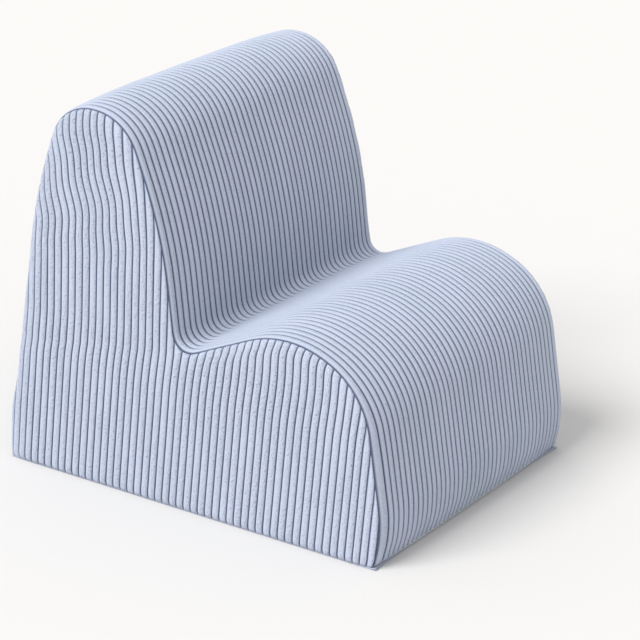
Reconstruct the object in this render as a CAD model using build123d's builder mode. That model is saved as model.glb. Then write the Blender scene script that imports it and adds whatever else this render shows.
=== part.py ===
from build123d import *
import os
from itertools import pairwise
from math import cos, radians, sin, tan

os.makedirs("parts", exist_ok=True)

# A small child's lounge chair: two glued foam blocks in a thin inner cover and a zipped cord
# cover. Millimetres, +X to the sitter's left, the sitter faces -Y, +Z up, floor at Z = 0.

# Overall size
width = 450.0
depth = 540.0
height = 478.0

# The side view, as the corners of its sides before they are rounded
upright_height = 77.0  # the rear face stands upright this far
rear_lean = 6.3  # degrees, the rear face above that
shoulder_height = 357.0
shoulder_lean = 17.7
top_length = 100.0
chest_lean = 23.0  # the front of the back, near the top
rest_height = 340.0
rest_lean = 8.9  # the part of the back that is leant on
valley_height = 202.0
seat_rise = 24.9
seat_run = 147.0  # from the valley to the crest of the seat
knee_height = 222.0
knee_setback = 31.0
front_top = 64.0  # the front face is upright between these heights
front_bottom = 32.0
front_tuck = 6.0
bend_share = 0.48  # each bend takes up this much of its shorter side
valley_radius = 14.0
rear_bend_radius = 200.0

# How the cover is drawn in towards its side seams
seam_draw = 5.0
side_crown = 6.0
side_round = 30.0  # the side panels level out this far from their seams
band_stations = [0.0, 0.25, 0.5, 0.7, 0.85, 1.0]  # shares of the way out to a side seam
side_angles = [0.0, 25.0, 50.0, 75.0]

# Cloth and foam
cord_thickness = 4.0
base_thickness = 2.0
liner_thickness = 0.8
layer_gap = 0.3
glue_rear_height = 174.0

# Zip across the foot of the rear face
zip_height = 30.0
slot_length = 386.0
slot_height = 12.0
tape_width = 12.0
tape_thickness = 0.6
tape_tail = 4.0
tooth_pitch = 4.0
tooth_length = 1.8
tooth_reach = 2.2
tooth_thickness = 1.8
row_gap = 1.8
stop_length = 1.8
slider_length = 11.0
slider_height = 9.0
plate_thickness = 0.9
slider_clearance = 0.25
divider_width = 1.2
divider_length = 2.5
rim_height = 1.0
bail_length = 7.2
bail_width = 1.6
bail_leg = 1.2
bail_gap = 1.3
pull_length = 24.0
pull_width = 6.4
pull_thickness = 0.9
eye_length = 4.4
eye_height = 2.8
end_clearance = 0.5

# The corners of the side view, from the rear foot over the top to the front foot
rear = depth / 2
front = -depth / 2
shoulder_y = rear - (shoulder_height - upright_height) * tan(radians(rear_lean))
top_rear_y = shoulder_y - (height - shoulder_height) * tan(radians(shoulder_lean))
top_front_y = top_rear_y - top_length
rest_y = top_front_y - (height - rest_height) * tan(radians(chest_lean))
valley_y = rest_y - (rest_height - valley_height) * tan(radians(rest_lean))
crest_y = valley_y - seat_run
crest_height = valley_height + seat_run * tan(radians(seat_rise))
corners = [
    Vector(rear, 0),
    Vector(rear, upright_height),
    Vector(shoulder_y, shoulder_height),
    Vector(top_rear_y, height),
    Vector(top_front_y, height),
    Vector(rest_y, rest_height),
    Vector(valley_y, valley_height),
    Vector(crest_y, crest_height),
    Vector(front + knee_setback, knee_height),
    Vector(front, front_top),
    Vector(front, front_bottom),
    Vector(front + front_tuck, 0),
]
rear_bend, valley_bend = 0, 5  # places of these two in the list of bends


def bend_radius(before, corner, after):
    """The radius of a bend that takes up bend_share of the shorter side beside it."""
    arriving = corner - before
    leaving = after - corner
    reach = bend_share * min(arriving.length, leaving.length)
    return reach / tan(radians(arriving.get_angle(leaving) / 2))


bend_radii = [bend_radius(*trio) for trio in zip(corners, corners[1:], corners[2:])]
bend_radii[rear_bend] = rear_bend_radius
bend_radii[valley_bend] = valley_radius


def crossing(first, second):
    """The point where two lines meet, each given as a point, its direction and its normal."""
    point, direction, _ = first
    other, _, normal = second
    return point + direction * (normal.dot(other - point) / normal.dot(direction))


def side_view(inset, rear_inset, floor):
    """The side view with its sides moved in, cut level at the floor."""
    lines = []
    for start, end in pairwise(corners):
        along = (end - start).normalized()
        inward = Vector(-along.Y, along.X)
        amount = inset if lines else rear_inset
        lines.append((start + inward * amount, along, inward))
    floor_line = (Vector(0, floor), Vector(1, 0), Vector(0, 1))
    points = [crossing(*pair) for pair in pairwise([floor_line, *lines, floor_line])]
    radii = [radius - inset for radius in bend_radii]
    radii[valley_bend] = valley_radius + inset
    with BuildSketch(Plane.YZ) as view:
        with BuildLine():
            rim = FilletPolyline(*points, radius=radii)
            Line(rim @ 1, rim @ 0)
        make_face()
    return view.sketch


def band_block(inset, floor=0.0):
    """The chair between its side seams, drawn in towards them but not along its rear foot."""
    seam_x = width / 2 - side_crown - inset
    half = [(x, side_view(inset + seam_draw * x**4, inset, floor)) for x in band_stations]
    with BuildPart() as block:
        for share, view in [(-x, view) for x, view in reversed(half[1:])] + half:
            add(view.moved(Location((seam_x * share, 0, 0))))
        loft()
    return block.part


def side_block(inset, floor=0.0):
    """The crown of the +X side panel, from its seam out to where it is level."""
    seam_x = width / 2 - side_crown - inset
    with BuildPart() as block:
        for angle in side_angles:
            out = side_crown * sin(radians(angle)) / sin(radians(side_angles[-1]))
            fall = 1 - cos(radians(angle))
            level = inset + side_round * fall / (1 - cos(radians(side_angles[-1])))
            view = side_view(level + seam_draw, level, floor)
            add(view.moved(Location((seam_x + out, 0, 0))))
        loft()
    return block.part


def layer(inset, floor=0.0):
    """The whole chair with every side moved in: its middle, its +X and its -X side."""
    side = side_block(inset, floor)
    return [band_block(inset, floor), side, mirror(side, about=Plane.YZ)]


def slab(length, low_y, low_z, high_z):
    """A block across the chair, from a depth in it to past its rear face, as a cutter."""
    size = (length, rear + 1 - low_y, high_z - low_z)
    middle = Location((0, (rear + 1 + low_y) / 2, (high_z + low_z) / 2))
    return middle * Box(*size, mode=Mode.PRIVATE)


# Where the layers lie, counted in from the outside
liner_inset = cord_thickness + layer_gap
foam_inset = liner_inset + liner_thickness + layer_gap
liner_floor = base_thickness + layer_gap
foam_floor = liner_floor + liner_thickness + layer_gap
cover_outside = layer(0)
cover_inside = layer(cord_thickness)
liner_outside = layer(liner_inset, liner_floor)
liner_inside = layer(liner_inset + liner_thickness, liner_floor)
foam_outside = layer(foam_inset, foam_floor)

# Where the zip lies: its mid-plane, its rows of teeth and its tapes
zip_y = rear - liner_inset - tape_thickness / 2
row_middle = (row_gap + tooth_reach) / 2
tape_edge = row_gap / 2 + tooth_reach
slot_low = zip_height - slot_height / 2
slot_high = zip_height + slot_height / 2
slot_cutter = slab(slot_length, 0, slot_low, slot_high)

# The slider's own sizes, and its way along the rows from the closed end
mouth = tooth_thickness + 2 * slider_clearance
plate_middle = (mouth + plate_thickness) / 2
plate_face = zip_y + plate_middle + plate_thickness / 2
pull_y = plate_face + bail_gap / 2
chain_start = -slot_length / 2 + end_clearance + stop_length
slider_x = chain_start + end_clearance + slider_length / 2
slider_travel = slot_length / 2 - end_clearance - pull_length - slider_x
chain_end = slider_x + slider_travel + slider_length / 2 + end_clearance

# The foam core: a seat block as deep as the chair, and a back block glued on it from the
# valley to the rear face
with BuildPart() as back_room:
    with BuildSketch(Plane.YZ):
        with BuildLine():
            Polyline(
                (valley_y, valley_height),
                (rear, glue_rear_height),
                (rear, height),
                (valley_y, height),
                close=True,
            )
        make_face()
    extrude(amount=width / 2, both=True)

hollow_y = zip_y - plate_middle - plate_thickness / 2 - end_clearance
with BuildPart() as foam_seat_block:
    add(foam_outside)
    add(back_room.part, mode=Mode.SUBTRACT)
    add(slab(slot_length, hollow_y, slot_low, slot_high), mode=Mode.SUBTRACT)

with BuildPart() as foam_back_block:
    add(foam_outside)
    add(back_room.part, mode=Mode.INTERSECT)


def base_panel(outside, top):
    """The bottom slice of a layer, up to the height top."""
    with BuildPart() as base:
        add(outside)
        split(bisect_by=Plane.XY.offset(top), keep=Keep.BOTTOM)
    return base.part


def wall(piece, inside, foot):
    """One piece of a layer, hollowed by the next layer in and standing at the height foot."""
    with BuildPart() as shell:
        add(piece)
        add(inside, mode=Mode.SUBTRACT)
        split(bisect_by=Plane.XY.offset(foot), keep=Keep.TOP)
    return shell.part


# The inner cover, open behind the zip
window_reach = tape_edge + tape_width + end_clearance
window_length = slot_length + 2 * (tape_tail + end_clearance)
liner_foot = liner_floor + liner_thickness
with BuildPart() as liner_base:
    add(base_panel(liner_outside, liner_foot))

with BuildPart() as liner_band:
    add(wall(liner_outside[0], liner_inside, liner_foot))
    window = slab(window_length, 0, zip_height - window_reach, zip_height + window_reach)
    add(window, mode=Mode.SUBTRACT)

with BuildPart() as liner_side_left:
    add(wall(liner_outside[1], liner_inside, liner_foot))

with BuildPart() as liner_side_right:
    mirror(liner_side_left.part, about=Plane.YZ)

# The cord cover on its plain base. The band's foot at the rear is a strip of its own.
with BuildPart() as cover_base:
    add(base_panel(cover_outside, base_thickness))

cover_ring = wall(cover_outside[0], cover_inside, base_thickness)
below_zip = slab(width, 0, 0, zip_height)
with BuildPart() as cover_band:
    add(cover_ring)
    add(below_zip, mode=Mode.SUBTRACT)
    add(slot_cutter, mode=Mode.SUBTRACT)

with BuildPart() as cover_rear_strip:
    add(cover_ring)
    add(below_zip, mode=Mode.INTERSECT)
    add(slot_cutter, mode=Mode.SUBTRACT)

with BuildPart() as cover_side_left:
    add(wall(cover_outside[1], cover_inside, base_thickness))

with BuildPart() as cover_side_right:
    mirror(cover_side_left.part, about=Plane.YZ)

# The zip's tapes, sewn behind the edges of the slot
tape_middle = tape_edge + tape_width / 2
with BuildPart() as zip_tape_upper:
    with Locations((0, zip_y, zip_height + tape_middle)):
        Box(slot_length + 2 * tape_tail, tape_thickness, tape_width)

with BuildPart() as zip_tape_lower:
    mirror(zip_tape_upper.part, about=Plane.XY.offset(zip_height))

# Two rows of teeth that stand half a pitch apart along the zip
with BuildPart() as tooth:
    Box(tooth_length, tooth_thickness, tooth_reach)
    tip = tooth.edges().filter_by(Axis.Y).group_by(Axis.Z)[0]
    fillet(tip, radius=tooth_length / 3)

upturned_tooth = mirror(tooth.part, about=Plane.XY)
tooth_count = int((chain_end - chain_start) / tooth_pitch)


def tooth_places(first_share, z):
    """Where one row's teeth stand, the first a share of the pitch from the row's start."""
    first = chain_start + first_share * tooth_pitch
    return [Location((first + tooth_pitch * i, zip_y, z)) for i in range(tooth_count)]


with BuildPart() as zip_teeth_upper:
    with Locations(*tooth_places(0.25, zip_height + row_middle)):
        add(tooth.part)

with BuildPart() as zip_teeth_lower:
    with Locations(*tooth_places(0.75, zip_height - row_middle)):
        add(upturned_tooth)

# A stop on each tape at the closed end, and one across both at the open end
with BuildPart() as zip_stops:
    stop_x = chain_start - stop_length / 2
    with Locations(
        (stop_x, zip_y, zip_height + row_middle), (stop_x, zip_y, zip_height - row_middle)
    ):
        Box(stop_length, tooth_thickness, tooth_reach)
    with Locations((chain_end + stop_length / 2, zip_y, zip_height)):
        Box(stop_length, tooth_thickness, 2 * tape_edge)

# The slider: two plates joined by a divider, rims that hold it on the tapes, and a bail
plate_round = slider_height / 4
rim_depth = (mouth - tape_thickness) / 2 - layer_gap
with BuildPart() as zip_slider:
    with Locations(
        (slider_x, zip_y - plate_middle, zip_height), (slider_x, zip_y + plate_middle, zip_height)
    ):
        Box(slider_length, plate_thickness, slider_height)
    fillet(zip_slider.edges().filter_by(Axis.Y), radius=plate_round)
    divider_x = slider_x - slider_length / 2 + divider_length
    with Locations((divider_x, zip_y, zip_height)):
        Box(divider_length, mouth, divider_width)
    for inner_outer in (-1, 1):
        for low_high in (-1, 1):
            rim_y = zip_y + inner_outer * (mouth - rim_depth) / 2
            rim_z = zip_height + low_high * (slider_height - rim_height) / 2
            with Locations((slider_x, rim_y, rim_z)):
                Box(slider_length - 2 * plate_round, rim_depth, rim_height)
    leg_x = (bail_length - bail_leg) / 2
    with Locations((slider_x - leg_x, pull_y, zip_height), (slider_x + leg_x, pull_y, zip_height)):
        Box(bail_leg, bail_gap, bail_width)
    with Locations((slider_x, plate_face + bail_gap + plate_thickness / 2, zip_height)):
        Box(bail_length, plate_thickness, bail_width)

# The pull: a round bar under the bail, an eye around the bail's leg, and a flat tab
with BuildPart() as zip_pull:
    with Locations((slider_x + pull_length / 2, pull_y, zip_height)):
        Box(pull_length, pull_thickness, pull_width)
    fillet(zip_pull.edges().filter_by(Axis.Y).group_by(Axis.X)[-1], radius=pull_width / 3)
    with Locations((slider_x + eye_length / 2, pull_y, zip_height)):
        Box(eye_length, pull_thickness, eye_height, mode=Mode.SUBTRACT)
    with Locations((slider_x, pull_y, zip_height)):
        Cylinder(radius=pull_thickness / 2, height=pull_width)

pieces = {
    "foam_seat_block": foam_seat_block,
    "foam_back_block": foam_back_block,
    "liner_base": liner_base,
    "liner_band": liner_band,
    "liner_side_left": liner_side_left,
    "liner_side_right": liner_side_right,
    "cover_base": cover_base,
    "cover_band": cover_band,
    "cover_rear_strip": cover_rear_strip,
    "cover_side_left": cover_side_left,
    "cover_side_right": cover_side_right,
    "zip_tape_upper": zip_tape_upper,
    "zip_tape_lower": zip_tape_lower,
    "zip_teeth_upper": zip_teeth_upper,
    "zip_teeth_lower": zip_teeth_lower,
    "zip_stops": zip_stops,
    "zip_slider": zip_slider,
    "zip_pull": zip_pull,
}
for name, piece in pieces.items():
    piece.part.label = name
    export_step(piece.part, f"parts/{name}.step")

print("zip slider travel", slider_travel)
print("pull hinge", slider_x, pull_y, zip_height)
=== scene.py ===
from itertools import accumulate
from math import cos, exp, radians, sin, sqrt

import bmesh
import bpy
from mathutils import Matrix, Vector, kdtree, noise


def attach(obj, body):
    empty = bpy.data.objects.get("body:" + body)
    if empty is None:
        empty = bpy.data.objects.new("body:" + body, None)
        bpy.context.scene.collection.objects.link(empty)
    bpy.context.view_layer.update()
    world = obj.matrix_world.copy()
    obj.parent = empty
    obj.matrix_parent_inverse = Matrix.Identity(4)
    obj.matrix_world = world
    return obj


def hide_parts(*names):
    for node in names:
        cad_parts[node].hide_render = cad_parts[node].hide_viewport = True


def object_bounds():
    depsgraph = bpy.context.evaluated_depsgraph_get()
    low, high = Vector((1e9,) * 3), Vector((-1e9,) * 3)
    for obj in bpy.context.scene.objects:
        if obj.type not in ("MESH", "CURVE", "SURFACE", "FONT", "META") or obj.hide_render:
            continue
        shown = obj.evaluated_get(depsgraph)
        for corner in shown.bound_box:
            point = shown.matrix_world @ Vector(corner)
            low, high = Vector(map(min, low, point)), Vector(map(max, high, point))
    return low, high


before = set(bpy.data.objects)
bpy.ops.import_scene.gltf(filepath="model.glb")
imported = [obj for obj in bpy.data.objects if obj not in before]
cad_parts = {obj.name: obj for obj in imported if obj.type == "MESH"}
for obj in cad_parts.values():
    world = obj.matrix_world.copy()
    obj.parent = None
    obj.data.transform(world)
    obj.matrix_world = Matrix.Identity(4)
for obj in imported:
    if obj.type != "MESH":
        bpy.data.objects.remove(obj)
cad_low, cad_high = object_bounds()

# Cord cloth. The whole outside is one wide-wale cotton corduroy, a pale powder blue. Its cut
# pile stands in rounded ribs, the wales, with a narrow bare groove of darker base weave between.
# Painted shade is laid into the groove's colour and onto one flank of each wale.
wale = 0.01035  # from one groove to the next
wale_depth = 0.0028
wale_fullness = 3.2  # how square a wale's rounded back is
end_round = 0.0055  # the length over which a wale closes at a seam
cloth_thickness = 0.004
swell_height = 0.00022  # how unevenly full the wales are
swell_across, swell_along = 0.7, 14
face_gap = 0.0002  # the wales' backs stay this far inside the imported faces
close_ends = (0, 0.0008, 0.002, 0.0036, 0.0055)  # rows at a wale's end
wale_shares = (0, 0.035, 0.09, 0.19, 0.34, 0.5, 0.66, 0.81, 0.91, 0.965)


def section(node, point, normal):
    """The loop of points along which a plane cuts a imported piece."""
    cut = bmesh.new()
    cut.from_mesh(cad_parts[node].data)
    bmesh.ops.remove_doubles(cut, verts=cut.verts, dist=1e-6)
    everything = cut.verts[:] + cut.edges[:] + cut.faces[:]
    bmesh.ops.bisect_plane(
        cut, geom=everything, dist=1e-7, plane_co=point, plane_no=normal,
        clear_inner=True, clear_outer=True,
    )
    bmesh.ops.remove_doubles(cut, verts=cut.verts, dist=1e-5)
    first = cut.verts[:][0]
    here, edge, loop = first, None, []
    while not loop or here is not first:
        loop.append(here.co.copy())
        edge = next(e for e in here.link_edges if e is not edge)
        here = edge.other_vert(here)
    cut.free()
    return loop


def evenly(points, step):
    """The same line with points an even step apart."""
    reach = list(accumulate(((b - a).length for a, b in zip(points, points[1:])), initial=0))
    count = round(reach[-1] / step)
    line, i = [], 0
    for k in range(count + 1):
        goal = reach[-1] * k / count
        while i < len(points) - 2 and reach[i + 1] < goal:
            i += 1
        line.append(points[i].lerp(points[i + 1], (goal - reach[i]) / (reach[i + 1] - reach[i])))
    return line


def ease(value, low=0.0, high=1.0):
    """Rises smoothly from 0 at low to 1 at high."""
    t = min(1, max(0, (value - low) / (high - low)))
    return t * t * (3 - 2 * t)


# The line of the band's outer face in the side view, from the rear foot to the front foot
line_step = 0.002
seam_x = 0.219
seam_draw = 0.005
smoothing_rounds = 12
undrawn_height, drawn_height = 0.05, 0.12  # the rear foot is flat for the zip
rear_foot_y = 0.2
loop = section("cover_band", (0, 0, 0), (1, 0, 0))
rear_y = max(p.y for p in loop)
start = min(range(len(loop)), key=lambda i: (loop[i] - Vector((0, rear_y, 0))).length)
loop = loop[start:] + loop[:start]
if loop[1].z < loop[-1].z:
    loop = loop[:1] + loop[:0:-1]
end = min(range(len(loop)), key=lambda i: (loop[i] - Vector((0, -rear_y, 0))).length)
upward = [Vector((0, rear_y, 0))] + loop[: end + 1]
foot_slope = (upward[-1] - upward[-2]).normalized()
upward.append(upward[-1] - foot_slope * (upward[-1].z / foot_slope.z))
outline = evenly(upward, line_step)
for _ in range(smoothing_rounds):
    middle = [(a + 2 * b + c) / 4 for a, b, c in zip(outline, outline[1:], outline[2:])]
    outline = [outline[0], *middle, outline[-1]]
slopes = [(b - a).normalized() for a, b in zip(outline, outline[2:])]
slopes = [slopes[0], *slopes, slopes[-1]]
outwards = [Vector((0, t.z, -t.y)) for t in slopes]
line_length = (len(outline) - 1) * line_step


def on_line(s):
    """The point of the band's line at a distance along it, and which way is out there."""
    place = min(max(s / line_step, 0), len(outline) - 1.001)
    i = int(place)
    out = outwards[i].lerp(outwards[i + 1], place - i)
    return outline[i].lerp(outline[i + 1], place - i), out


def drawn_in(point):
    """How much of the draw towards the seams is felt there: none along the rear foot."""
    return ease(point.z, undrawn_height, drawn_height) if point.y > rear_foot_y else 1.0


def skin(name, ring, path, place):
    """A closed skin of cloth: a grid wrapped round, where place(i, j) gives a point and its spot."""
    bm = bmesh.new()
    bmesh.ops.create_grid(bm, x_segments=ring, y_segments=path, size=1)
    spots = bm.loops.layers.uv.new("wales")
    found = {}
    for vert in bm.verts:
        key = round((vert.co.x + 1) / 2 * ring), round((vert.co.y + 1) / 2 * path)
        vert.co, found[vert] = place(*key)
    for face in bm.faces:
        for corner in face.loops:
            corner[spots].uv = found[corner.vert]
    bmesh.ops.remove_doubles(bm, verts=bm.verts, dist=1e-6)
    rims = [e for e in bm.edges if e.is_boundary]
    bmesh.ops.holes_fill(bm, edges=rims, sides=0)
    bmesh.ops.recalc_face_normals(bm, faces=bm.faces)
    for face in bm.faces:
        face.smooth = True
    mesh = bpy.data.meshes.new(name)
    bm.to_mesh(mesh)
    bm.free()
    piece = bpy.data.objects.new(name, mesh)
    bpy.context.scene.collection.objects.link(piece)
    return piece


class Field:
    """A number or colour that changes over a surface: a node's output, with arithmetic."""

    def __init__(self, tree, socket=None):
        self.tree, self.socket = tree, socket

    def node(self, kind, settings, sockets, output=0):
        made = self.tree.nodes.new(kind)
        for name, value in settings.items():
            setattr(made, name, value)
        for key, value in sockets.items():
            if isinstance(value, Field):
                self.tree.links.new(value.socket, made.inputs[key])
            else:
                made.inputs[key].default_value = value
        return Field(self.tree, made.outputs[output])

    def maths(self, operation, *values):
        return self.node("ShaderNodeMath", {"operation": operation}, dict(enumerate(values)))

    def __add__(self, other):
        return self.maths("ADD", self, other)

    def __sub__(self, other):
        return self.maths("SUBTRACT", self, other)

    def __rsub__(self, other):
        return self.maths("SUBTRACT", other, self)

    def __mul__(self, other):
        return self.maths("MULTIPLY", self, other)

    __radd__, __rmul__ = __add__, __mul__

    def between(self, low, high):
        """0 below low, 1 above high and smooth on the way."""
        sockets = {"Value": self, "From Min": low, "From Max": high}
        return self.node("ShaderNodeMapRange", {"interpolation_type": "SMOOTHSTEP"}, sockets)

    def blend(self, first, second):
        """The first colour where this is 0, the second where it is 1."""
        colours = {0: self, 6: first, 7: second}
        return self.node("ShaderNodeMix", {"data_type": "RGBA"}, colours, 2)

    def noise(self, scale, detail=2.0, roughness=0.5):
        """Noise at this place."""
        sockets = {"Vector": self, "Scale": scale, "Detail": detail, "Roughness": roughness}
        return self.node("ShaderNodeTexNoise", {}, sockets)

    def sine(self):
        return self.maths("SINE", self)

    def part(self, axis):
        return self.node("ShaderNodeSeparateXYZ", {}, {0: self}, axis)

    def joined(self, second, third=0.0):
        return self.node("ShaderNodeCombineXYZ", {}, {0: self, 1: second, 2: third})


def shade(red, green, blue):
    """A colour as a paint chart gives it, in the shader's linear terms."""
    parts = [c / 255 for c in (red, green, blue)]
    return (*[((c + 0.055) / 1.055) ** 2.4 if c > 0.04 else c / 12.92 for c in parts], 1)


def finish_material(name, **constants):
    """A material with its shader's even values set, and a field to build the rest with."""
    made = bpy.data.materials.new(name)
    made.use_nodes = True
    shader = made.node_tree.nodes["Principled BSDF"]
    for socket, value in constants.items():
        shader.inputs[socket.replace("_", " ")].default_value = value
    return made, shader, Field(made.node_tree)


def raise_pile(field, shader, height, distance, strength):
    """Let a height in a field stand out from the surface."""
    sockets = {"Height": height, "Distance": distance, "Strength": strength}
    bump = field.node("ShaderNodeBump", {}, sockets)
    field.tree.links.new(bump.socket, shader.inputs["Normal"])


def cord_cloth(name, fleck_and_shade_strength, ground_and_shade_from):
    """Corduroy, from the piece's own map of its wales: across them, then along them.

    The second argument is how strongly the parted pile shows, with the painted shade it lays on
    one flank of each wale, and the third how far out from a wale's middle its bare base weave
    starts, darker than the pile and darkened further with painted groove shade.
    """
    made, shader, field = finish_material(
        name, Roughness=0.95, Sheen_Weight=0.35, Sheen_Roughness=0.45,
        Sheen_Tint=shade(226, 232, 246), Specular_IOR_Level=0.2,
    )
    spot = field.node("ShaderNodeUVMap", {"uv_map": "wales"}, {})
    across, along = spot.part(0), spot.part(1)
    share = across.maths("FRACT", across)
    side = share - 0.5
    edge = side.maths("ABSOLUTE", side) * 2
    # the pile leans across each wale, so its tips part in short slanting flecks
    slant = across * 0.8 + along * 0.6
    rise = along * 0.8 - across * 0.6
    tips = (slant * 11.0).joined(rise * 3.6).noise(1.0, 3.0, 0.6)
    patch = (across * 0.35).joined(along * 0.1).noise(1.0, 2.0)
    fleck_and_flank_shade = tips.between(0.5, 0.66) * (patch.between(0.3, 0.6) * 0.5 + 0.5)
    # the parted tips are gathered on one flank of each wale, so they also paint that flank's shade
    fleck_and_flank_shade = fleck_and_flank_shade * (share.between(0.15, 0.6) * 0.8 + 0.2) * (1 - edge.between(0.82, 1.0))
    grain = (across * 16.0).joined(along * 13.0).noise(1.0, 3.0, 0.75)
    tone = (across * 0.17).joined(along * 0.05, 3.0).noise(1.0, 2.0)
    pale = tone.between(0.35, 0.65).blend(shade(210, 216, 233), shade(205, 215, 228))
    pile = grain.between(0.36, 0.62).blend(shade(164, 173, 196), pale)
    pile = (fleck_and_flank_shade * fleck_and_shade_strength).blend(pile, shade(118, 127, 152))
    # the bare base weave in the grooves is darker, and its colour there also holds painted shade of
    # the groove
    ground_and_groove_shade = edge.between(ground_and_shade_from, 0.95).blend(pile, shade(84, 94, 122))
    field.tree.links.new(ground_and_groove_shade.socket, shader.inputs["Base Color"])
    height = grain * 0.6 - fleck_and_flank_shade * 0.6 + tips * 0.4
    raise_pile(field, shader, height, 0.0011, 0.8)
    return made


# Band. One length of cord cloth runs from the zip up the rear, over the back, down into the
# seat and over its front to the floor, its wales along it. It is sewn to both side panels,
# and the wale beside the seam is wide, since the seam doesn't follow a groove.
band_wales = 42
first_wale = 0.0112  # beside each seam
spread_wale = 0.0062  # what the near one gains down the front
slot_x = 0.193
slot_edge = 0.0363
strip_top = 0.030
slot_round = 0.002  # the slot's ends
slot_blend_up, slot_blend_down = 0.06, 0.02  # how far from the slot its rows are even again
row_step = 0.0072
sway_reach, sway_across, sway_along = 0.0007, 0.21, 9
inner_every = 3  # the inside has a column of points for so many wales
spread_from, spread_to = 0.26, 0.12  # before the front foot
foot_roll = 0.0028  # how far the front foot is rolled under, between the seams
bend_rows = 3.6  # how much closer rows stand in a bend


def column_x(u, s):
    """Where a place across the band's wales lies, at a distance along it."""
    spread = spread_wale * ease(s, line_length - spread_from, line_length - spread_to)
    near = first_wale + spread
    pitch = (2 * seam_x - near - first_wale) / (band_wales - 2)
    if u < 1:
        return u * near - seam_x
    if u > band_wales - 1:
        return seam_x - (band_wales - u) * first_wale
    return near - seam_x + (u - 1) * pitch


def wale_drop(share, end_distance):
    """How far a wale's back lies under the cloth's outer face, there."""
    close = max(0, 1 - end_distance / end_round)
    return wale_depth * min(1, abs(2 * share - 1) ** wale_fullness + close**wale_fullness)


def rows_along(first, last):
    """Distances along the band's line, closer in its bends and towards its ends."""
    ends = close_ends
    rows, s = [first + end for end in ends], first + ends[-1]
    while s < last - ends[-1]:
        i = min(int(s / line_step), len(slopes) - 4)
        bend = slopes[i].angle(slopes[i + 3]) / (3 * line_step)
        s += 1 / (1 / row_step + bend * bend_rows)
        rows.append(s)
    while rows[-1] > last - ends[-1] - row_step / 2:
        rows.pop()
    return rows + [last - end for end in reversed(ends)]


def rolled_under(x):
    """How far the front foot is rolled under, at a place across the chair."""
    return foot_roll * (1 - (x / seam_x) ** 8)


def band_piece(name, rows, slot_side):
    """A piece of the band between two places along its line, above the slot (1) or below (-1)."""
    outer = [k + share for k in range(band_wales) for share in wale_shares] + [band_wales]
    inner = [band_wales - k for k in range(0, band_wales + 1, inner_every)]
    ring = len(outer) + len(inner)
    slot_drop = (slot_edge - strip_top) * slot_side

    def place(i, j):
        inside = len(outer) <= i < ring
        u = inner[i - len(outer)] if inside else outer[i % ring]
        s = rows[j]
        x = column_x(u, s)
        # the slot for the zip cuts the ends short
        slot = 1 - ease(abs(x), slot_x, slot_x + slot_round)
        if slot_side > 0:
            s += slot_drop * slot * max(0, 1 - (s - rows[0]) / slot_blend_up)
            end = min(s - rows[0] - slot_drop * slot, rows[-1] - s)
        else:
            s += slot_drop * slot * max(0, 1 - (rows[-1] - s) / slot_blend_down)
            end = min(s - rows[0], rows[-1] + slot_drop * slot - s)
        point, out = on_line(s)
        out = out.normalized()
        draw = seam_draw * abs(x / seam_x) ** 4 * drawn_in(point)
        if point.y < 0:
            draw += rolled_under(x) * (1 - ease(point.z, -0.012, 0.034))
        if inside:
            x *= 1 - cloth_thickness / seam_x / 4
            depth = draw + cloth_thickness
        else:
            sway = noise.noise(Vector((u * sway_across, s * sway_along, 1))) * sway_reach
            swell = noise.noise(Vector((u * swell_across, s * swell_along, 5))) * swell_height
            x += sway * min(1, 6 * (1 - abs(x / seam_x)))
            depth = draw + wale_drop(u % 1, max(0, end)) + swell + face_gap
        return point + Vector((x, 0, 0)) - out * depth, (u, s / wale)

    return skin(name, ring, len(rows) - 1, place)


band_cloth = cord_cloth("band_cord", 0.6, 0.6)
foot = cad_low.z + 0.002
band = band_piece("band", rows_along(strip_top, line_length - foot), 1)
band.data.materials.append(band_cloth)
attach(band, "chair")
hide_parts("cover_band")

# Rear strip. The foot of the band at the rear is a strip of its own, under the zip.
rear_strip = band_piece("rear_strip", rows_along(foot, strip_top), -1)
rear_strip.data.materials.append(band_cloth)
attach(rear_strip, "chair")
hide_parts("cover_rear_strip")

# Side panels. Two flat pieces of the same cloth, cut to the side view with their wales
# upright and sewn to the band all round. Pulled over the foam the wales lean forward, shift
# at the crease between the foam blocks and sway towards the top of the back.
panel_wales = 52
panel_rear = 0.2665  # the rearmost groove, along the floor
panel_rows = 64
panel_back_rows = 5
rear_wales = 2  # wales that lean in over the rear edge
crown = 0.006
crown_reach = 0.032
wale_lean = 0.055
lean_top = 0.21
crease_front = Vector((0, 0.02, 0.203))
crease_rear_z = 0.16
crease_depth = 0.0009
crease_width = 0.009
crease_step = 0.002  # how far the wales move at the crease
top_shift = 0.024  # how far they fall back towards the top
top_sway, sway_turn = 0.0016, 0.011
seam_bend, seam_bend_reach = 0.0035, 0.024  # their ends turn forward over the seat
foot_tuck = 0.0012
height_step = 0.004
least_wale = 0.004  # shorter ones are lost in the seam

seam_line = [p - out * seam_draw * drawn_in(p) for p, out in zip(outline, outwards)]


def height_at(y):
    """How high the side panel is at a depth in the chair."""
    crossings = [
        a.z + (b.z - a.z) * (y - a.y) / (b.y - a.y)
        for a, b in zip(seam_line, seam_line[1:])
        if (a.y - y) * (b.y - y) <= 0 and a.y != b.y
    ]
    return max(crossings, default=0)


heights = {k: height_at(k * height_step) for k in range(-68, 69)}


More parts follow.
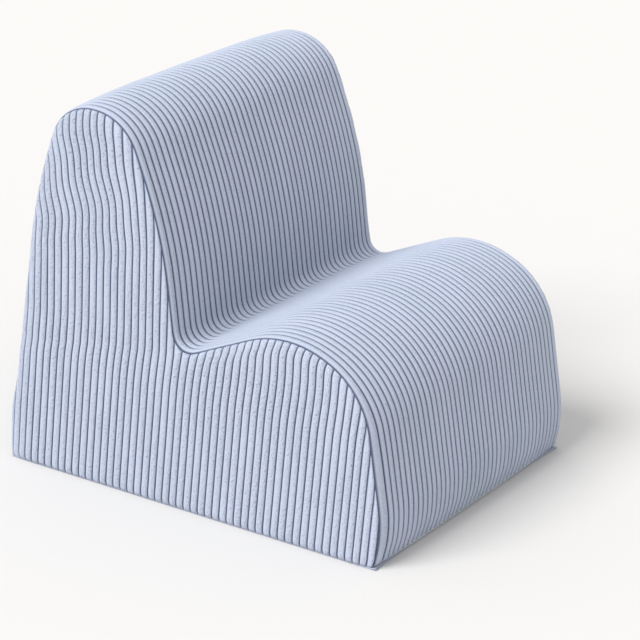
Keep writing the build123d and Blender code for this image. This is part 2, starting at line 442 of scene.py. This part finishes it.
def flow(y, z):
    """How far a wale that starts at depth y on the floor has moved forward, at a height."""
    lean = -wale_lean * min(z, lean_top)
    step = -crease_step * ease(z, 0.145, 0.2)
    top = top_shift * ease(y, 0.03, 0.13) * ease(z, 0.31, 0.47)
    sway = top_sway * sin((z - 0.3) / sway_turn + y * 40) * ease(y, 0.07, 0.14)
    sway *= ease(z, 0.27, 0.34) * (1 - ease(z, 0.42, 0.46))
    low = int(y // height_step)
    top_z = max(heights.get(low, 0), heights.get(low + 1, 0))
    near_top = ease(z, top_z - seam_bend_reach, top_z)
    bend = -seam_bend * near_top**2 * (1 - ease(y, -0.03, 0.02))
    return lean + step + top + sway + bend


def started_at(y, z):
    """The depth on the floor at which the wale through a point starts."""
    begin = y
    for _ in range(8):
        begin = y - flow(begin, z)
    return begin


unleaned = [Vector((0, started_at(p.y, p.z), p.z)) for p in seam_line]
seam_parts = 4  # points of the tree to each step of the line
seam_points = seam_parts * (len(seam_line) - 1)
seam_tree = kdtree.KDTree(seam_points)
seam_outs = []
for i in range(seam_points):
    k, part = divmod(i, seam_parts)
    seam_tree.insert(seam_line[k].lerp(seam_line[k + 1], part / seam_parts), i)
    seam_outs.append(outwards[k])
seam_tree.balance()


def wale_ends(begin):
    """The lowest and highest place of the wale that starts there."""
    crossings = [
        a.z + (b.z - a.z) * (begin - a.y) / (b.y - a.y)
        for a, b in zip(unleaned, unleaned[1:])
        if (a.y - begin) * (b.y - begin) <= 0 and a.y != b.y
    ]
    return (0 if len(crossings) < 2 else min(crossings)), max(crossings, default=0)


def side_panel(name, side):
    """The side panel at +X or -X."""
    columns = [k + share for k in range(-rear_wales, panel_wales) for share in wale_shares]
    begins = [panel_rear - u * wale for u in columns]
    inside_columns = [(u, b) for u, b in zip(columns, begins) if wale_ends(b)[1] > least_wale]
    ends = close_ends
    ring = panel_rows + 1 + panel_back_rows
    spans = [wale_ends(b) for _, b in inside_columns]

    def height(j, low, high):
        """The height of a row, close together at both ends of the wale."""
        reach = high - low
        count = panel_rows + 1
        near = min(ends[-1], reach / 3)
        if j < len(ends):
            return low + ends[j] * near / ends[-1]
        if j >= count - len(ends):
            return high - ends[count - 1 - j] * near / ends[-1]
        share = (j - len(ends) + 1) / (count - 2 * len(ends) + 1)
        return low + near + (reach - 2 * near) * share

    def place(i, j):
        u, begin = inside_columns[j]
        low, high = spans[j]
        low = max(low, foot)
        high = max(high, low + 0.0005)
        inside = panel_rows < i < ring
        if inside:
            z = high - (high - low) * (i - panel_rows - 1) / (panel_back_rows - 1)
        else:
            z = height(i % ring, low, high)
        point = Vector((0, begin + flow(begin, z), z))
        _, index, distance = seam_tree.find(point)
        level = min(1, distance / crown_reach)
        lift = sqrt(1 - (1 - level) ** 2)
        turned_in = seam_outs[index] * (1 - level)
        facing = Vector((lift, 0, 0)) + turned_in
        facing.normalize()
        fold = crease_front.z + (crease_rear_z - crease_front.z) * (
            (point.y - crease_front.y) / (rear_y - crease_front.y)
        )
        crease = crease_depth * exp(-(((point.z - fold) / crease_width) ** 2))
        crease *= ease(point.y, -0.02, 0.03)
        tuck = foot_tuck * (1 - ease(point.z, 0.002, 0.012))
        if inside:
            depth = cloth_thickness
        else:
            spot = Vector((u * swell_across, z * swell_along, side * 7))
            swell = noise.noise(spot) * swell_height
            end = min(distance, max(0, z - foot))
            depth = wale_drop(u % 1, end) + swell + face_gap + crease + tuck
        out = seam_x + crown * lift
        spot = Vector((out, 0, 0)) + point - facing * depth
        spot.x *= side
        return spot, (u, z / wale)

    return skin(name, ring, len(inside_columns) - 1, place)


panel_cloth = cord_cloth("panel_cord", 1.0, 0.68)
for name, side in (("side_right", -1), ("side_left", 1)):
    panel = side_panel(name, side)
    panel.data.materials.append(panel_cloth)
    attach(panel, "chair")
    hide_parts("cover_" + name)

# Base cloth. A plain weave closes the cover underneath. It ends just inside the cord cloth's
# foot, and its edge shows under the wales as a thin pale line.
base_rows = 90
base_columns = 110
base_inset = 0.0022
base_overlap = 0.0012  # past the side seams
underside_share, topside_share = 0.04, 0.96  # of the foot's height
thread_waves = 5200.0
base_front = -on_line(line_length)[0].y - base_inset
base_rear = rear_y - base_inset


def base_edge(x):
    """How far forward the base reaches at a place across the chair."""
    return base_front - rolled_under(x)


def base_place(i, j):
    """The base, wrapped round: its underside first, then its top."""
    share = j / base_rows
    x = (2 * share - 1) * (seam_x + base_overlap)
    ring = 2 * base_columns
    turn = (i % ring) / base_columns
    across = turn if turn < 1 else 2 - turn
    y = base_rear - (base_rear + base_edge(min(seam_x, max(-seam_x, x)))) * across
    z = foot * (underside_share if turn < 1 else topside_share)
    return Vector((x, y, z)), (x / wale, y / wale)


base_cloth, base_shader, base_field = finish_material(
    "base_weave", Roughness=0.9, Specular_IOR_Level=0.15, Sheen_Weight=0.2, Sheen_Roughness=0.5,
)
threads = base_field.node("ShaderNodeTexCoord", {}, {}, 3)
over = (threads.part(0) * thread_waves).sine()
under = (threads.part(1) * thread_waves).sine()
weave = (over * under + 1.0) * 0.5
weave_colour = weave.between(0.0, 1.0).blend(shade(150, 158, 182), shade(186, 193, 214))
base_field.tree.links.new(weave_colour.socket, base_shader.inputs["Base Color"])
base = skin("base", 2 * base_columns, base_rows, base_place)
base.data.materials.append(base_cloth)
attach(base, "chair")
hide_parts("cover_base")

# Foam blocks. Two blocks of pale open-cell foam, glued together, fill the cover. They keep
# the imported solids' own faces, and their cut cells are left to the material.
foam_finish, foam_shader, foam_field = finish_material(
    "open_foam", Roughness=0.95, Specular_IOR_Level=0.1,
)
foam_spot = foam_field.node("ShaderNodeTexCoord", {}, {}, 3)
cells = foam_spot.noise(420.0, 3.0, 0.7)
foam_colour = cells.between(0.3, 0.7).blend(shade(226, 219, 196), shade(246, 243, 229))
foam_field.tree.links.new(foam_colour.socket, foam_shader.inputs["Base Color"])
raise_pile(foam_field, foam_shader, cells, 0.0006, 0.8)
for name, node in (("seat_foam", "foam_seat_block"), ("back_foam", "foam_back_block")):
    block = bpy.data.objects.new(name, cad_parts[node].data.copy())
    bpy.context.scene.collection.objects.link(block)
    block.matrix_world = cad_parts[node].matrix_world
    block.data.materials.clear()
    block.data.materials.append(foam_finish)
    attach(block, "chair")
    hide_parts(node)

# Inner cover. A thin white knit wraps the foam so that the cord cover slides over it.
knit, knit_shader, knit_field = finish_material(
    "liner_knit", Roughness=0.8, Specular_IOR_Level=0.2, Sheen_Weight=0.2, Sheen_Roughness=0.4,
)
stitch_spot = knit_field.node("ShaderNodeTexCoord", {}, {}, 3)
stitch_waves = 4200.0
loops = (stitch_spot.part(0) + stitch_spot.part(1)) * stitch_waves
rounds = stitch_spot.part(2) * stitch_waves
knit_height = loops.sine() * rounds.sine()
knit_colour = knit_height.between(-1.0, 0.6).blend(shade(222, 222, 220), shade(242, 242, 240))
knit_field.tree.links.new(knit_colour.socket, knit_shader.inputs["Base Color"])
raise_pile(knit_field, knit_shader, knit_height, 0.0002, 0.6)


def dress(finish, *nodes):
    """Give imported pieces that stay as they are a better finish."""
    for node in nodes:
        for material_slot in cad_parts[node].material_slots:
            material_slot.material = finish


dress(knit, "liner_base", "liner_band", "liner_side_left", "liner_side_right")

# Zip. A plastic tooth zip runs across the rear foot in a slot between band and strip: two
# woven tapes, two rows of teeth, three stops, and a plated slider with its pull.
tape, tape_shader, tape_field = finish_material(
    "zip_weave", Roughness=0.85, Specular_IOR_Level=0.2,
)
tape_spot = tape_field.node("ShaderNodeTexCoord", {}, {}, 3)
ribs = tape_spot.part(0) * 7000.0
rows = tape_spot.part(2) * 9000.0
tape_height = ribs.sine() * rows.sine()
tape_colour = tape_height.between(-0.8, 0.8).blend(shade(120, 130, 156), shade(158, 167, 192))
tape_field.tree.links.new(tape_colour.socket, tape_shader.inputs["Base Color"])
raise_pile(tape_field, tape_shader, tape_height, 0.0002, 0.7)
dress(tape, "zip_tape_upper", "zip_tape_lower")

teeth, teeth_shader, teeth_field = finish_material("zip_teeth_plastic", Specular_IOR_Level=0.5)
teeth_spot = teeth_field.node("ShaderNodeTexCoord", {}, {}, 3)
wear = teeth_spot.noise(900.0, 2.0)
teeth_colour = wear.between(0.3, 0.7).blend(shade(138, 148, 174), shade(150, 160, 186))
teeth_field.tree.links.new(teeth_colour.socket, teeth_shader.inputs["Base Color"])
teeth_field.tree.links.new((wear * 0.2 + 0.3).socket, teeth_shader.inputs["Roughness"])
dress(teeth, "zip_teeth_upper", "zip_teeth_lower", "zip_stops")

plating, plating_shader, plating_field = finish_material(
    "zip_plating", Metallic=1.0, Base_Color=shade(205, 206, 208), Specular_IOR_Level=0.5,
)
rubbed = plating_field.node("ShaderNodeTexCoord", {}, {}, 3).noise(600.0, 3.0)
plating_field.tree.links.new((rubbed * 0.25 + 0.2).socket, plating_shader.inputs["Roughness"])
dress(plating, "zip_slider", "zip_pull")

# Studio. A pale floor under an even surrounding light, and one broad light from high at the
# left that casts the soft shadow at the right of the chair.
bpy.ops.mesh.primitive_plane_add(size=60)
floor = bpy.context.object
floor.name = "floor"
floor_colour = shade(219, 217.6, 215.8)
floor_finish, _, _ = finish_material(
    "floor_paper", Roughness=1.0, Specular_IOR_Level=0.0, Base_Color=floor_colour,
)
floor.data.materials.append(floor_finish)

world = bpy.data.worlds.new("studio")
bpy.context.scene.world = world
world.use_nodes = True
surrounding = world.node_tree.nodes["Background"].inputs
surrounding["Color"].default_value = (1, 1, 1, 1)
surrounding["Strength"].default_value = 0.74

# Camera. It stands where the chair's two side outlines and its foot, fitted together with
# the side view, put the photograph's. Angles in degrees, distances in metres.
view_azimuth = -58.343
view_elevation = 21.264
view_roll = 2.512
view_distance = 3.6535
view_shift = (0.03769, 0.16624)
focal_pixels = 2918.7
picture_pixels = 640
turn, rise, roll = (radians(v) for v in (view_azimuth, view_elevation, view_roll))
back = Vector((sin(turn) * cos(rise), -cos(turn) * cos(rise), sin(rise)))
level_right = Vector((cos(turn), sin(turn), 0))
level_up = back.cross(level_right)
right = level_right * cos(roll) + level_up * sin(roll)
up = level_up * cos(roll) - level_right * sin(roll)
camera_data = bpy.data.cameras.new("camera")
camera_data.lens = focal_pixels / picture_pixels * camera_data.sensor_width
camera_data.clip_end = 60
camera = bpy.data.objects.new("camera", camera_data)
stand = back * view_distance + right * view_shift[0] + up * view_shift[1]
camera.matrix_world = Matrix.Translation(stand) @ Matrix((right, up, back)).transposed().to_4x4()
bpy.context.scene.collection.objects.link(camera)
bpy.context.scene.camera = camera


def sun(name, towards, spread, power):
    """A soft light from far away in a direction."""
    data = bpy.data.lights.new(name, "SUN")
    data.angle, data.energy = radians(spread), power
    made = bpy.data.objects.new(name, data)
    made.rotation_euler = towards.to_track_quat("Z", "Y").to_euler()
    bpy.context.scene.collection.objects.link(made)


sun("key", -level_right * 0.8 + back * 0.6 + Vector((0, 0, 0.85)), 32, 2.7)

view = bpy.context.scene.view_settings
view.view_transform = "Standard"
